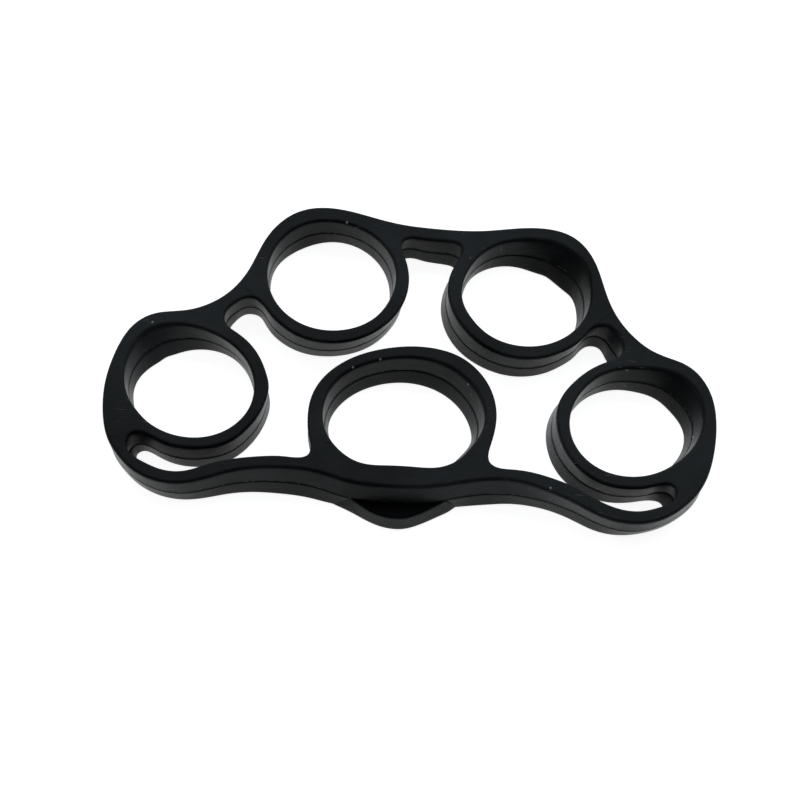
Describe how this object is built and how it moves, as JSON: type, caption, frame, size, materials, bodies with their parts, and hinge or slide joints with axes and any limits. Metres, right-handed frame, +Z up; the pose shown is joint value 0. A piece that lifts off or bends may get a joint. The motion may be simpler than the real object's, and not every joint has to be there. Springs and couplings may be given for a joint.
{
  "type": "finger exerciser",
  "caption": "Flat moulded silicone-rubber hand stretcher with finger rings on a wavy outer band and a D-shaped thumb ring on a palm strap.",
  "frame": {"origin": "centre of the footprint, on the flat underside", "axes": "+X across the fingers to the right, +Y from the palm strap towards the finger tips, +Z up through the thickness"},
  "size_m": [0.1222, 0.0736, 0.0075],
  "materials": {
    "silicone": "satin"
  },
  "bodies": {
    "palm": {"palm_bridge": "silicone", "grip_lip": "silicone", "strap_left": "silicone", "strap_right": "silicone"},
    "outer_left": {"end_loop_left": "silicone", "outer_band_1": "silicone"},
    "outer_right": {"end_loop_right": "silicone", "outer_band_4": "silicone"},
    "inner_left": {"web_left": "silicone", "outer_band_2": "silicone", "web_centre_left": "silicone"},
    "inner_right": {"web_right": "silicone", "outer_band_3": "silicone", "web_centre_right": "silicone"},
    "ring_1": {"finger_ring_1": "silicone"},
    "ring_2": {"finger_ring_2": "silicone"},
    "ring_3": {"finger_ring_3": "silicone"},
    "ring_4": {"finger_ring_4": "silicone"},
    "thumb": {"thumb_ring": "silicone"}
  },
  "joints": [
    {"name": "spread_left", "type": "slide", "parent": "palm", "child": "outer_left", "axis": [-1, 0, 0], "range_m": [0, 0.005], "stiffness_N_per_m": 300, "deforming": ["strap_left"]},
    {"name": "spread_right", "type": "slide", "parent": "palm", "child": "outer_right", "axis": [1, 0, 0], "range_m": [0, 0.005], "stiffness_N_per_m": 300, "deforming": ["strap_right"]},
    {"name": "spread_inner_left", "type": "slide", "parent": "outer_left", "child": "inner_left", "axis": [0.7809, 0.6247, 0], "range_m": [0, 0.00641], "stiffness_N_per_m": 300, "deforming": ["web_left"]},
    {"name": "spread_inner_right", "type": "slide", "parent": "outer_right", "child": "inner_right", "axis": [-0.7809, 0.6247, 0], "range_m": [0, 0.00641], "stiffness_N_per_m": 300, "deforming": ["web_right"]},
    {"name": "flex_ring_1", "type": "hinge", "parent": "outer_left", "child": "ring_1", "pos_m": [-0.0439, -0.01081, 0.00375], "axis": [-0.4763, -0.8793, 0], "range_deg": [-18, 18], "stiffness_Nm_per_rad": 0.02},
    {"name": "flex_ring_2", "type": "hinge", "parent": "inner_left", "child": "ring_2", "pos_m": [-0.01915, 0.01844, 0.00375], "axis": [-0.8642, -0.5032, 0], "range_deg": [-18, 18], "stiffness_Nm_per_rad": 0.02},
    {"name": "flex_ring_3", "type": "hinge", "parent": "inner_right", "child": "ring_3", "pos_m": [0.01975, 0.01824, 0.00375], "axis": [-0.8557, 0.5175, 0], "range_deg": [-18, 18], "stiffness_Nm_per_rad": 0.02},
    {"name": "flex_ring_4", "type": "hinge", "parent": "outer_right", "child": "ring_4", "pos_m": [0.0441, -0.01121, 0.00375], "axis": [-0.4443, 0.8959, 0], "range_deg": [-18, 18], "stiffness_Nm_per_rad": 0.02},
    {"name": "flex_thumb_ring", "type": "hinge", "parent": "palm", "child": "thumb", "pos_m": [-0.0004, -0.02231, 0.00375], "axis": [1, 0, 0], "range_deg": [-18, 18], "stiffness_Nm_per_rad": 0.02}
  ],
  "couplings": [
    {"joint": "spread_right", "follows": "spread_left", "ratio": 1},
    {"joint": "spread_inner_left", "follows": "spread_left", "ratio": 1.2806},
    {"joint": "spread_inner_right", "follows": "spread_left", "ratio": 1.2806}
  ]
}
